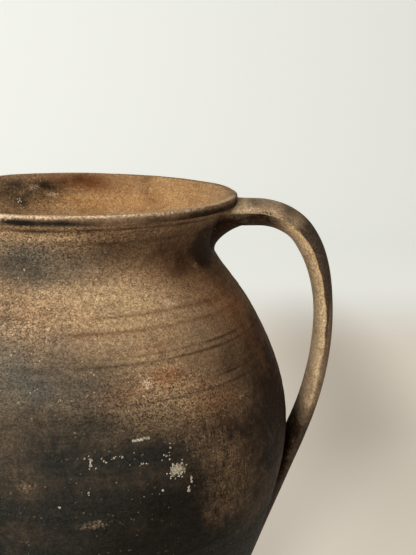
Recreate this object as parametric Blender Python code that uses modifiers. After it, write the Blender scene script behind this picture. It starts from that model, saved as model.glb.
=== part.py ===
# Ceramic jug: a wide-mouthed earthenware jug with one strap handle, formed in sections and luted.
# Metres, +Z up. The vessel's axis is Z, its resting face is z = 0, and the handle stands out along +X.

import math

import bmesh
import bpy
import numpy as np

# Vessel outline, from the resting face upwards
BASE_RADIUS = 0.079
BASE_SLOPE = 0.66
BASE_SWEEP = 0.025
BELLY_RADIUS = 0.1354
BELLY_HEIGHT = 0.170
BELLY_SWEEP_DOWN = 0.046
BELLY_SWEEP_UP = 0.0134
SHOULDER_RADIUS = 0.1044
SHOULDER_RISE = 0.088
SHOULDER_SLOPE = 0.65
SHOULDER_SWEEP_DOWN = 0.055
SHOULDER_SWEEP_UP = 0.005
NECK_RADIUS = 0.0847
NECK_RISE = 0.0305
NECK_SWEEP = 0.008
COLLAR_RISE = 0.0257
COLLAR_FLARE = 0.0065

# Turned lines scored round the shoulder, as heights above the belly's widest place
LINE_RISES = (0.0733, 0.0767, 0.0880)
LINE_DEPTH = 0.0006
LINE_WIDTH = 0.0022

# Lip
RIM_RADIUS = 0.100
RIM_HEIGHT = 0.0055
RIM_THICKNESS = 0.0065
RIM_ROUND = 0.0022
RIM_OVERHANG = 0.0025
RIM_UNDERCUT = 0.0012

# Walls and the scored ridges of the luted joints
WALL = 0.006
FLOOR = 0.009
FLOOR_ROUND = 0.0015
SEAM_RISE = 0.054
RIDGE_HEIGHT = 0.0016
CLEARANCE = 0.0003

# Handle: crown line of the strap
HANDLE_DROP = 0.0035
ROOT_REACH = 0.012
ROOT_SWEEP = 0.037
BEND_SWEEP = 0.048
GRIP_REACH = 0.0274
GRIP_RISE = 0.068
GRIP_SWEEP = 0.030
LANDING_STANDOFF = 0.0140
LANDING_DROP = 0.0072
LANDING_SWEEP = 0.020
TAIL_STANDOFF = 0.0026
TAIL_DROP = 0.104
TIP_LENGTH = 0.014

# Handle: width and thickness of the strap at its key sections
FLARE_WIDTH = 0.068
FLARE_THICKNESS = 0.017
ROOT_WIDTH = 0.045
ROOT_THICKNESS = 0.0165
BEND_WIDTH = 0.037
BEND_THICKNESS = 0.0155
GRIP_WIDTH = 0.032
GRIP_THICKNESS = 0.0115
LANDING_WIDTH = 0.033
LANDING_THICKNESS = 0.0118
TAIL_WIDTH = 0.042
TAIL_THICKNESS = 0.009
TIP_WIDTH = 0.018
ARRIS_SHARE = 0.58
SECTION_POWER = 2.3

# Luting clay
UPPER_LUTING_REACH = 0.022
UPPER_LUTING_DROP = 0.015
UPPER_LUTING_WIDTH = 0.040
UPPER_LUTING_OVERLAP = 0.0012
UPPER_LUTING_POWER = 1.6
LOWER_LUTING_WIDTH = 0.058
LOWER_LUTING_HEIGHT = 0.052
LOWER_LUTING_THICKNESS = 0.0018
LOWER_LUTING_RISE = 0.004

# Facets
TURN_STEPS = 64
WALL_POINTS = 14
SECTION_POINTS = 16
ROOT_STEPS = 7
HALF_BEND_STEPS = 7
DROP_STEPS = 9
TAIL_STEPS = 12
LUTING_STEPS = 13
LUTING_END = 0.94
HOLLOW_STEPS = 9
BACK_STEPS = 5
EDGE_STEPS = 5

# Sizes and heights that follow from those above
COLLAR_RADIUS = RIM_RADIUS - RIM_OVERHANG
SHOULDER_HEIGHT = BELLY_HEIGHT + SHOULDER_RISE
NECK_HEIGHT = SHOULDER_HEIGHT + NECK_RISE
COLLAR_HEIGHT = NECK_HEIGHT + COLLAR_RISE
TOTAL_HEIGHT = COLLAR_HEIGHT + CLEARANCE + RIM_HEIGHT
SEAM_HEIGHT = BELLY_HEIGHT + SEAM_RISE


def bezier(start, first, second, end, count):
    t = np.linspace(0.0, 1.0, count)[:, None]
    points = [np.asarray(point, float) for point in (start, first, second, end)]
    weights = ((1 - t) ** 3, 3 * t * (1 - t) ** 2, 3 * t**2 * (1 - t), t**3)
    return sum(weight * point for weight, point in zip(weights, points))


def vessel_outline(count=120):
    """Outer wall as (radius, height) rows, from the foot up to the collar under the lip."""
    slope = np.array([-SHOULDER_SLOPE, 1.0]) / math.hypot(SHOULDER_SLOPE, 1.0)
    foot = np.array([BASE_RADIUS, 0.0])
    belly = np.array([BELLY_RADIUS, BELLY_HEIGHT])
    shoulder = np.array([SHOULDER_RADIUS, SHOULDER_HEIGHT])
    neck = np.array([NECK_RADIUS, NECK_HEIGHT])
    collar = np.array([COLLAR_RADIUS, COLLAR_HEIGHT])
    spread = BASE_SWEEP * np.array([BASE_SLOPE, 1.0])
    stretches = (
        bezier(foot, foot + spread, belly - (0, BELLY_SWEEP_DOWN), belly, count),
        bezier(belly, belly + (0, BELLY_SWEEP_UP), shoulder - slope * SHOULDER_SWEEP_DOWN, shoulder, count),
        bezier(shoulder, shoulder + slope * SHOULDER_SWEEP_UP, neck - (0, NECK_SWEEP), neck, count),
        bezier(neck, neck + (0, NECK_SWEEP), collar - (COLLAR_FLARE, COLLAR_FLARE), collar, count),
    )
    return np.vstack([stretches[0]] + [stretch[1:] for stretch in stretches[1:]])


def offset_inwards(outline, distance):
    """The outline moved towards the axis by a distance at right angles to itself."""
    along = np.gradient(outline, axis=0)
    along /= np.linalg.norm(along, axis=1)[:, None]
    return outline + distance * np.column_stack([-along[:, 1], along[:, 0]])


OUTER = vessel_outline()
INNER = offset_inwards(OUTER, WALL)


def outer_radius(height):
    return np.interp(height, OUTER[:, 1], OUTER[:, 0])


def inner_radius(height):
    return np.interp(height, INNER[:, 1], INNER[:, 0])


def outer_line(low, high, count):
    return [(outer_radius(z), z) for z in np.linspace(high, low, count)]


def scored_line(low, high, count):
    """The outer line with the turned lines cut into it; its own points give way beside each of them."""
    middles = [BELLY_HEIGHT + rise for rise in LINE_RISES]
    rows = [row for row in outer_line(low, high, count) if min(abs(row[1] - z) for z in middles) > LINE_WIDTH]
    for middle in middles:
        edges = (middle - LINE_WIDTH / 2, middle + LINE_WIDTH / 2)
        rows += [(outer_radius(z), z) for z in edges]
        rows.append((outer_radius(middle) - LINE_DEPTH, middle))
    return sorted(rows, key=lambda row: row[1], reverse=True)


def inner_line(low, high, count):
    return [(inner_radius(z), z) for z in np.linspace(low, high, count)]


def ridge(height, lift=0.0):
    """The scored ridge across a luted joint, from the inner side to the outer, raised by the lift."""
    middle = (outer_radius(height) + inner_radius(height)) / 2
    offsets = ((-RIDGE_HEIGHT, 0.0), (0.0, RIDGE_HEIGHT), (RIDGE_HEIGHT, 0.0))
    return [(middle + across, height + lift + up) for across, up in offsets]


def arc(centre, radius, first_deg, last_deg, count):
    angles = np.radians(np.linspace(first_deg, last_deg, count))
    return [(centre[0] + radius * math.cos(a), centre[1] + radius * math.sin(a)) for a in angles]


def clay(name, colour, roughness):
    material = bpy.data.materials.new(name)
    material.use_nodes = True
    shader = material.node_tree.nodes["Principled BSDF"]
    shader.inputs["Base Color"].default_value = (*colour, 1.0)
    shader.inputs["Roughness"].default_value = roughness
    shader.inputs["Metallic"].default_value = 0.0
    return material


def add_object(name, mesh, collection, material=None):
    obj = bpy.data.objects.new(name, mesh)
    collection.objects.link(obj)
    if material:
        mesh.materials.append(material)
    else:
        obj.hide_render = True
        obj.display_type = "WIRE"
    return obj


def turned(name, profile, closed, collection, material=None):
    """A profile of (radius, height) points, running down its outer side, turned about Z."""
    mesh = bpy.data.meshes.new(name)
    edges = [(i, i + 1) for i in range(len(profile) - 1)]
    if closed:
        edges.append((len(profile) - 1, 0))
    mesh.from_pydata([(radius, 0.0, z) for radius, z in profile], edges, [])
    obj = add_object(name, mesh, collection, material)
    screw = obj.modifiers.new("Turn", "SCREW")
    screw.axis = "Z"
    screw.angle = 2 * math.pi
    screw.steps = TURN_STEPS
    screw.render_steps = TURN_STEPS
    screw.use_merge_vertices = True
    screw.merge_threshold = 0.00001
    screw.use_smooth_shade = True
    return obj


def loft(name, rings, collection, material=None):
    """A closed body through rings of points, each with as many points as the next."""
    shape = bmesh.new()
    rows = [[shape.verts.new(point) for point in ring] for ring in rings]
    for row, following in zip(rows, rows[1:]):
        for i in range(len(row)):
            j = (i + 1) % len(row)
            shape.faces.new((row[i], row[j], following[j], following[i]))
    shape.faces.new(rows[0])
    shape.faces.new(rows[-1])
    bmesh.ops.recalc_face_normals(shape, faces=shape.faces[:])
    mesh = bpy.data.meshes.new(name)
    shape.to_mesh(mesh)
    shape.free()
    mesh.shade_smooth()
    mesh.set_sharp_from_angle(angle=math.radians(40))
    return add_object(name, mesh, collection, material)


def cut(obj, cutter):
    boolean = obj.modifiers.new("Seat on " + cutter.name, "BOOLEAN")
    boolean.operation = "DIFFERENCE"
    boolean.solver = "EXACT"
    boolean.object = cutter


def base_disc(parts):
    """Floor slab: the pot's whole foot, with the ridge that the wall is luted over."""
    foot = arc((BASE_RADIUS - FLOOR_ROUND, FLOOR_ROUND), FLOOR_ROUND, 0, -90, EDGE_STEPS)
    profile = [(0.0, FLOOR)] + ridge(FLOOR) + [(outer_radius(FLOOR), FLOOR)] + foot + [(0.0, 0.0)]
    return turned("base_disc", profile, False, parts, clay("Sooted clay floor", (0.055, 0.045, 0.038), 0.9))


def lower_wall(parts):
    """Belly section, from the floor slab to the seam on the shoulder."""
    low = FLOOR + CLEARANCE
    profile = outer_line(low, SEAM_HEIGHT, WALL_POINTS)
    profile += ridge(FLOOR, CLEARANCE)[::-1]
    profile += inner_line(low, SEAM_HEIGHT, WALL_POINTS)
    profile += ridge(SEAM_HEIGHT)
    return turned("lower_wall", profile, True, parts, clay("Smoked clay", (0.075, 0.056, 0.042), 0.85))


def upper_wall(parts):
    """Shoulder and neck, luted over the belly section's ridge, with the turned lines round the shoulder."""
    low = SEAM_HEIGHT + CLEARANCE
    profile = scored_line(low, COLLAR_HEIGHT, WALL_POINTS)
    profile += ridge(SEAM_HEIGHT, CLEARANCE)[::-1]
    profile += inner_line(low, COLLAR_HEIGHT, WALL_POINTS)
    profile += ridge(COLLAR_HEIGHT)
    return turned("upper_wall", profile, True, parts, clay("Golden tan clay", (0.23, 0.135, 0.062), 0.8))


def rim_outer_side():
    """Outer side of the lip, top to bottom: rounded edge, upright band, undercut."""
    low = COLLAR_HEIGHT + CLEARANCE
    side = arc((RIM_RADIUS - RIM_ROUND, TOTAL_HEIGHT - RIM_ROUND), RIM_ROUND, 90, 0, EDGE_STEPS)
    return side + [(RIM_RADIUS, low + RIM_UNDERCUT), (RIM_RADIUS - RIM_UNDERCUT, low)]


def rim_band(parts):
    """Lip coil on the collar's edge, with its inner side carrying on the flare of the neck."""
    low = COLLAR_HEIGHT + CLEARANCE
    inner_edge = RIM_RADIUS - RIM_THICKNESS
    profile = rim_outer_side()
    profile += ridge(COLLAR_HEIGHT, CLEARANCE)[::-1]
    profile += [(inner_radius(COLLAR_HEIGHT), low), (inner_edge, TOTAL_HEIGHT - RIM_ROUND)]
    profile += [(inner_edge + RIM_ROUND / 2, TOTAL_HEIGHT - RIM_ROUND / 4)]
    return turned("rim_band", profile, True, parts, clay("Worn pinkish clay", (0.26, 0.165, 0.105), 0.75))


def vessel_cutter(cutters):
    """The vessel's outside, grown by the clearance: what seats on the vessel is cut by it."""
    wall = outer_line(SEAM_HEIGHT + CLEARANCE, COLLAR_HEIGHT, WALL_POINTS)[1:]
    wall += outer_line(FLOOR + CLEARANCE, SEAM_HEIGHT, WALL_POINTS)
    *band, (under_radius, under_height) = rim_outer_side()
    under = (under_radius, under_height - CLEARANCE)
    side = [(radius + CLEARANCE, z) for radius, z in band + [under] + wall]
    top = TOTAL_HEIGHT + CLEARANCE
    return turned("vessel_cutter", [(0.0, top), (RIM_RADIUS, top)] + side + [(0.0, FLOOR)], False, cutters)


def strap_stretches():
    """Crown line of the strap in the XZ plane, with (width, thickness) at both ends of each stretch."""
    top = TOTAL_HEIGHT - HANDLE_DROP
    landing_height = BELLY_HEIGHT - LANDING_DROP
    tail_height = BELLY_HEIGHT - TAIL_DROP
    inside = np.array([NECK_RADIUS - 2 * WALL, top])
    root = np.array([RIM_RADIUS + ROOT_REACH, top])
    grip = np.array([BELLY_RADIUS + GRIP_REACH, BELLY_HEIGHT + GRIP_RISE])
    landing = np.array([outer_radius(landing_height) + LANDING_STANDOFF, landing_height])
    tail = np.array([outer_radius(tail_height) + TAIL_STANDOFF, tail_height])
    downwards = (tail - landing) / np.linalg.norm(tail - landing)
    bend = bezier(root, root + (ROOT_SWEEP, 0), grip + (0, BEND_SWEEP), grip, 2 * HALF_BEND_STEPS - 1)
    drop = bezier(grip, grip - (0, GRIP_SWEEP), landing - downwards * LANDING_SWEEP, landing, DROP_STEPS)
    flare = (FLARE_WIDTH, FLARE_THICKNESS)
    at_root = (ROOT_WIDTH, ROOT_THICKNESS)
    at_bend = (BEND_WIDTH, BEND_THICKNESS)
    at_grip = (GRIP_WIDTH, GRIP_THICKNESS)
    at_landing = (LANDING_WIDTH, LANDING_THICKNESS)
    at_tail = (TAIL_WIDTH, TAIL_THICKNESS)
    return (
        (np.linspace(inside, root, ROOT_STEPS), flare, at_root),
        (bend[:HALF_BEND_STEPS], at_root, at_bend),
        (bend[HALF_BEND_STEPS - 1 :], at_bend, at_grip),
        (drop, at_grip, at_landing),
        (np.linspace(landing, tail, TAIL_STEPS), at_landing, at_tail),
    )


def strap_rings(grow):
    """Sections of the strap along its crown line, each grown by the same amount all round."""
    line, sizes = [], []
    for points, first, last in strap_stretches():
        blend = np.linspace(0.0, 1.0, len(points))
        blend = (blend * blend * (3 - 2 * blend))[:, None]
        skip = 1 if line else 0
        line.extend(points[skip:])
        sizes.extend(((1 - blend) * first + blend * last)[skip:])
    line = np.array(line)
    sizes = np.array(sizes)
    to_tip = np.linalg.norm(line - line[-1], axis=1)
    rounding = np.sqrt(1 - np.clip(1 - to_tip / TIP_LENGTH, 0, 1) ** 2)
    sizes[:, 0] = TIP_WIDTH + (sizes[:, 0] - TIP_WIDTH) * rounding
    along = np.gradient(line, axis=0)
    along /= np.linalg.norm(along, axis=1)[:, None]
    inwards = np.column_stack([along[:, 1], -along[:, 0]])
    angles = np.linspace(0, 2 * math.pi, SECTION_POINTS, endpoint=False)
    across = np.sign(np.cos(angles)) * np.abs(np.cos(angles)) ** (2 / SECTION_POWER)
    through = np.sign(np.sin(angles)) * np.abs(np.sin(angles)) ** (2 / SECTION_POWER)
    rings = []
    for crown, normal, (width, thickness) in zip(line, inwards, sizes):
        arris = crown + normal * thickness * ARRIS_SHARE
        deep = np.where(through > 0, thickness * (1 - ARRIS_SHARE) + grow, thickness * ARRIS_SHARE + grow)
        places = arris + np.outer(through * deep, normal)
        y = across * (width / 2 + grow)
        rings.append([(x, side, z) for (x, z), side in zip(places, y)])
    return rings


def strap_handle(parts, vessel):
    """Pulled strap: flared root under the lip, high bend, straight grip, tail laid down on the belly."""
    obj = loft("strap_handle", strap_rings(0.0), parts, clay("Sooted strap clay", (0.13, 0.088, 0.055), 0.8))
    cut(obj, vessel)
    return obj


def upper_luting(parts, vessel, strap):
    """Clay pressed into the angle between the neck and the underside of the strap's root."""
    underside = TOTAL_HEIGHT - HANDLE_DROP - ROOT_THICKNESS
    top = underside + UPPER_LUTING_OVERLAP
    buried = underside + ROOT_THICKNESS / 2
    turn = np.linspace(0, math.pi / 2, HOLLOW_STEPS)
    fall = 1 - np.sin(turn) ** (2 / UPPER_LUTING_POWER)
    reach = 1 - np.cos(turn) ** (2 / UPPER_LUTING_POWER)
    rings = []
    for share in np.linspace(-LUTING_END, LUTING_END, LUTING_STEPS):
        y = share * UPPER_LUTING_WIDTH / 2
        fading = math.sqrt(1 - share * share)
        back = math.sqrt(NECK_RADIUS**2 - y * y) - WALL
        z = top - fall * UPPER_LUTING_DROP * fading
        x = np.sqrt(outer_radius(z) ** 2 - y * y) + reach * UPPER_LUTING_REACH * fading
        ring = list(zip(x, z)) + [(x[-1], buried), (back, buried), (back, z[0])]
        rings.append([(x, y, z) for x, z in ring])
    obj = loft("upper_luting", rings, parts, clay("Pressed clay", (0.16, 0.10, 0.058), 0.85))
    cut(obj, vessel)
    cut(obj, strap)
    return obj


def lower_luting(parts, vessel, strap):
    """Clay smeared round the tip of the strap's tail, thinning out on to the belly."""
    middle = BELLY_HEIGHT - TAIL_DROP + LOWER_LUTING_RISE
    rings = []
    for share in np.linspace(-LUTING_END, LUTING_END, LUTING_STEPS):
        z = middle + share * LOWER_LUTING_HEIGHT / 2
        narrowing = math.sqrt(1 - share * share)
        wall = outer_radius(z)
        spread = LOWER_LUTING_WIDTH / 2 * narrowing / wall
        ring = []
        for turn in np.linspace(-1, 1, LUTING_STEPS):
            radius = wall + LOWER_LUTING_THICKNESS * narrowing * (1 - turn * turn)
            ring.append((radius * math.cos(turn * spread), radius * math.sin(turn * spread), z))
        radius = wall - WALL / 2
        for turn in np.linspace(1, -1, BACK_STEPS):
            ring.append((radius * math.cos(turn * spread), radius * math.sin(turn * spread), z))
        rings.append(ring)
    obj = loft("lower_luting", rings, parts, clay("Smeared clay", (0.085, 0.062, 0.045), 0.9))
    cut(obj, vessel)
    cut(obj, strap)
    return obj


def new_collection(name):
    collection = bpy.data.collections.new(name)
    bpy.context.scene.collection.children.link(collection)
    return collection


def main():
    for obj in list(bpy.data.objects):
        bpy.data.objects.remove(obj, do_unlink=True)
    parts = new_collection("Ceramic jug")
    cutters = new_collection("Cutters")
    vessel = vessel_cutter(cutters)
    strap = loft("strap_cutter", strap_rings(CLEARANCE), cutters)
    pieces = [
        base_disc(parts),
        lower_wall(parts),
        upper_wall(parts),
        rim_band(parts),
        strap_handle(parts, vessel),
        upper_luting(parts, vessel, strap),
        lower_luting(parts, vessel, strap),
    ]
    jug = bpy.data.objects.new("jug", None)
    parts.objects.link(jug)
    for piece in pieces:
        piece.parent = jug


main()
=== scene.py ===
# Ceramic jug: smoke-fired earthenware with a pulled strap handle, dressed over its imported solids.
import math

import bmesh
import bpy
import numpy as np
from mathutils import Matrix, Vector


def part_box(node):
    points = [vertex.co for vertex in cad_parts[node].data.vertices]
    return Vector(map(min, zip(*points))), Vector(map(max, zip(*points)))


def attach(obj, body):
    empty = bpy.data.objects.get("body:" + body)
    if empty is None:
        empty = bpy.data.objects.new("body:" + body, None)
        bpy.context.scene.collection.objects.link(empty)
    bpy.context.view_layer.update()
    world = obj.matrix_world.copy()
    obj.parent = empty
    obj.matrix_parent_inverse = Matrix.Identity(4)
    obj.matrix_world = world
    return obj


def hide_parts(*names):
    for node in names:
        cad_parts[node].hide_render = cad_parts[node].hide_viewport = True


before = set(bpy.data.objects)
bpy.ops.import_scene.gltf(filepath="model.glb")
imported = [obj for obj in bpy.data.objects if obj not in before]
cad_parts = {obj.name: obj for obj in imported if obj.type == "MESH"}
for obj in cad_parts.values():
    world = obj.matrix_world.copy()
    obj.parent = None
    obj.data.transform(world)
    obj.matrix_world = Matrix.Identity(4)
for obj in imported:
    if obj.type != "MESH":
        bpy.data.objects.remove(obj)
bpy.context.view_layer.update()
mm = 0.001
print("frame loaded:", ", ".join(sorted(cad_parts)))

# Noise: multipliers that scatter the cells of its lattice, the shift between octaves, and a seed for each use
hashAxes = np.array([374761393, 668265263, 974634777])
hashSeed, hashStir, hashMask = 144665, 1274126177, 0xFFFFFFFF
octaveShift = 17.31
seeds = dict(
    wander=3, uneven=11, ridges=12, insideRidges=21, patches=40, bendAcross=61, bendUp=62,
    lipTop=71, lipSide=72, pulls=81, strap=82, ragged=91, fingers=95, crumbs=7,
)


# sRGB hex to linear colour: c / 12.92 near black, ((c + 0.055) / 1.055) ^ 2.4 above
def linear(hexColour):
    parts = np.array([int(hexColour[i:i + 2], 16) for i in (1, 3, 5)]) / 255
    parts = np.where(parts <= 0.04045, parts / 12.92, ((parts + 0.055) / 1.055) ** 2.4)
    return (*parts, 1.0)


# smoothstep: 0 below low, 1 above high, 3t^2 - 2t^3 between
def ease(x, low=0.0, high=1.0):
    t = np.clip((x - low) / (high - low), 0, 1)
    return t * t * (3 - 2 * t)


# soft bell: exp(-(x / width)^2)
def bell(x, width):
    return np.exp(-((x / width) ** 2))


# value noise: a fixed random number in each corner of a lattice, blended by smoothstep across the cell,
# summed over octaves that halve in size and weight; runs from 0 to 1 about 0.5, its size is in mm
def clouds(points, size, seed, octaves=3):
    total = np.zeros(points.shape[:-1])
    for octave in range(octaves):
        place = points / (size * mm) * 2 ** octave + octaveShift * octave
        cell = np.floor(place).astype(np.int64)
        t = ease(place - cell)
        for corner in np.ndindex(2, 2, 2):
            weight = np.prod(np.where(corner, t, 1 - t), axis=-1)
            n = ((cell + corner) @ hashAxes + (seed + octave) * hashSeed) & hashMask
            n = ((n ^ (n >> 13)) * hashStir) & hashMask
            total += weight * ((n ^ (n >> 16)) & 0xFFFF) / 0xFFFF / 2 ** octave
    return total / (2 - 0.5 ** (octaves - 1))


# cubic Bezier: four points weighted (1-t)^3, 3t(1-t)^2, 3t^2(1-t), t^3
def bezier(start, first, second, end, count):
    t = np.linspace(0, 1, count)[:, None]
    weights = ((1 - t) ** 3, 3 * t * (1 - t) ** 2, 3 * t ** 2 * (1 - t), t ** 3)
    return sum(w * np.asarray(p, float) for w, p in zip(weights, (start, first, second, end)))


# cubic Hermite curve through knots, each slope from the knots beside it
def smoothLine(x, knots, values):
    slopes = np.gradient(values, knots)
    i = np.clip(np.searchsorted(knots, x) - 1, 0, len(knots) - 2)
    step = knots[i + 1] - knots[i]
    t = np.clip((x - knots[i]) / step, 0, 1)
    near = (1 + 2 * t) * (1 - t) ** 2 * values[i] + t * (1 - t) ** 2 * step * slopes[i]
    return near + t * t * (3 - 2 * t) * values[i + 1] + t * t * (t - 1) * step * slopes[i + 1]


# equal steps once round
def roundSteps(count, start=0.0):
    return np.linspace(start, start + 2 * math.pi, count, endpoint=False)


# a point at each radius, azimuth and height: x = r cos a, y = r sin a
def turned(radius, azimuth, z):
    return np.stack(np.broadcast_arrays(radius * np.cos(azimuth), radius * np.sin(azimuth), z), -1)


# rows closed at both ends by a point in the middle of the first and of the last row
def closedEnds(points):
    first, last = (np.broadcast_to(points[k].mean(0), points[k].shape)[None] for k in (0, -1))
    return np.concatenate([first, points, last])


# steps from the middle of a dome to its rim and back along its underside,
# with 1 for the front rows and 0 for the back
def domeSteps(rings, backRings):
    s = np.concatenate([np.linspace(0, 1, rings), np.linspace(1, 0, backRings)])
    front = np.concatenate([np.ones(rings), np.zeros(backRings)])
    return s[:, None], front[:, None]


# The wall's lines, read from the frame
leastWall = 4 * mm  # a ring thinner than this is the ridge inside a joint
skin = 0.45 * mm  # the dressed face lies this far inside the solid's, so that its unevenness stays within
seamHalf = 0.15 * mm  # half the gap between two solids
floorLap = 0.8 * mm  # the belly's lower edge lies this far under the middle of its gap


# rows of (height, inner radius, outer radius) from a turned node's own rings, less the ridges in the joints
def wallRows(node):
    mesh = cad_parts[node].data
    points = np.empty(len(mesh.vertices) * 3, np.float32)
    mesh.vertices.foreach_get("co", points)
    points = points.reshape(-1, 3).astype(float)
    levels, where = np.unique(np.round(points[:, 2], 5), return_inverse=True)
    radii = np.hypot(points[:, 0], points[:, 1])
    inner, outer = np.full(len(levels), 1.0), np.zeros(len(levels))
    np.minimum.at(inner, where, radii)
    np.maximum.at(outer, where, radii)
    return np.column_stack([levels, inner, outer])[outer - inner > leastWall]


wall = np.vstack([wallRows("lower_wall"), wallRows("upper_wall")[1:]])
floorSeam = (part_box("base_disc")[1].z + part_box("lower_wall")[0].z) / 2 - floorLap
beltSeam = wallRows("upper_wall")[0, 0] - seamHalf
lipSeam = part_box("rim_band")[0].z - seamHalf
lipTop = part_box("rim_band")[1].z
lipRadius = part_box("rim_band")[1].x


# the wall's outer line less the skin, without its unevenness
def outerRadius(z):
    return smoothLine(z, wall[:, 0], wall[:, 2]) - skin


# the wall's inner line
def innerRadius(z):
    return smoothLine(z, wall[:, 0], wall[:, 1])


# Camera, at the photograph's viewing point: place in mm, tilt and roll in degrees
cameraView = dict(
    place=(82.2, -516.9, 388.9), tilt=13.42, roll=0.98,
    focalPixels=834, framePixels=555, sensor=36, clipStart=0.01,
)

cameraData = bpy.data.cameras.new("jugCamera")
cameraData.sensor_width = cameraView["sensor"]
cameraData.lens = cameraView["focalPixels"] / cameraView["framePixels"] * cameraView["sensor"]
cameraData.clip_start = cameraView["clipStart"]
camera = bpy.data.objects.new("jugCamera", cameraData)
bpy.context.scene.collection.objects.link(camera)
camera.matrix_world = (
    Matrix.Translation([x * mm for x in cameraView["place"]])
    @ Matrix.Rotation(math.radians(90 - cameraView["tilt"]), 4, "X")
    @ Matrix.Rotation(math.radians(cameraView["roll"]), 4, "Z")
)
bpy.context.scene.camera = camera
print("camera set")


# Materials


# one node, its settings, and its inputs as sockets to link or values to set
def addNode(tree, kind, inputs=None, **settings):
    node = tree.nodes.new(kind)
    for key, value in settings.items():
        setattr(node, key, value)
    for key, value in (inputs or {}).items():
        if isinstance(value, bpy.types.NodeSocket):
            tree.links.new(value, node.inputs[key])
        else:
            node.inputs[key].default_value = value
    return node


# a Math node's result: the operation on its values
def maths(tree, operation, *values, **settings):
    node = addNode(tree, "ShaderNodeMath", dict(enumerate(values)), operation=operation, **settings)
    return node.outputs[0]


# a value carried from one range to another and held at both ends
def carried(tree, value, low, high, toLow=0.0, toHigh=1.0, **settings):
    limits = {"Value": value, "From Min": low, "From Max": high, "To Min": toLow, "To Max": toHigh}
    return addNode(tree, "ShaderNodeMapRange", limits, **settings).outputs[0]


# one colour laid over another by a share of 0 to 1
def layered(tree, share, under, over, **settings):
    layer = {0: share, 6: under, 7: over}
    return addNode(tree, "ShaderNodeMix", layer, data_type="RGBA", **settings).outputs[2]


# a bump of the given strength and depth in mm, over an earlier one where there is one
def bumped(tree, height, strength, depth, under=None):
    inputs = {"Height": height, "Strength": strength, "Distance": depth * mm}
    if under is not None:
        inputs["Normal"] = under
    return addNode(tree, "ShaderNodeBump", inputs).outputs[0]


# an empty material, its tree and the object's own coordinates
def newMaterial(name):
    material = bpy.data.materials.new(name)
    material.use_nodes = True
    tree = material.node_tree
    tree.nodes.clear()
    return material, tree, addNode(tree, "ShaderNodeTexCoord").outputs["Object"]


mineralIndex = 1.5  # of light in clay and chalk


# a matt mineral surface joined to the material's output
def mineral(tree, colour, roughness, normal, specular):
    inputs = {"Base Color": colour, "Roughness": roughness, "Normal": normal}
    inputs |= {"IOR": mineralIndex, "Specular IOR Level": specular}
    shader = addNode(tree, "ShaderNodeBsdfPrincipled", inputs)
    addNode(tree, "ShaderNodeOutputMaterial", {"Surface": shader.outputs[0]})


# how each mark on the clay shows: the noise that frays its edge, how far, and where it starts and is full
markEdges = dict(
    sand=("ragged", 1.1, 0.0, 1.0),
    ember=("ragged", 1.2, 0.0, 1.0),
    gold=("ragged", 0.9, 0.0, 1.0),
    stainAndShade=("ragged", 0.9, 0.0, 1.0),
    ash=("ragged", 0.9, 0.0, 1.0),
    smoke=("ragged", 0.34, 0.0, 1.0),
    soot=("ragged", 0.7, 0.0, 1.0),
    scrape=("streak", 3.2, 0.25, 1.20),
    wear=("grit", 3.0, 0.15, 1.0),
    pits=("grit", 5.0, 0.45, 1.0),
)
# grain sizes in mm, detail, roughness, and how far each axis is drawn together; the finest is drawn at about
# 0.7 mm, where the real sand is nearer 0.4 mm, so that it shows at this picture size
grainSizes = dict(
    grit=(1.3, 2.0, 0.6, (1, 1, 1)),
    fleck=(3.6, 4.0, 0.65, (1, 1, 1)),
    cloud=(17.0, 6.0, 0.66, (1, 1, 1)),
    streak=(3.4, 5.0, 0.75, (1, 1, 0.50)),
    turning=(2.4, 3.0, 0.6, (0.06, 0.06, 1)),
)
sandSize = 0.70
coarseness = 0.68  # share of the full grain that shows where nothing else is said
raggedMix = dict(cloud=1.5, fleck=0.7, sandGrain=0.35)  # what makes up the ragged noise
mottling = dict(  # noise of each tone, where it starts and is full, and its greatest share
    fleckTone=("fleck", 0.48, 0.68, 0.40),
    shadeTone=("cloud", 0.46, 0.68, 0.40),
    speck=("sandGrain", 0.993, 0.997, 0.30),
)
darkCover = 0.70  # share of the mottling that soot, smoke, stain and painted shade hide
grainTones = dict(sandGrain=(0.14, 0.88), grit=(0.06, 0.94))  # darkest and palest grain, 0.5 changes nothing
clayBumps = (("fleck", 0.35, 0.6), ("grit", 0.45, 0.4))  # noise, strength, depth in mm
clayFace = dict(fleckRange=(0.3, 0.7), roughness=(0.60, 0.88), specular=0.10)


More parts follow.
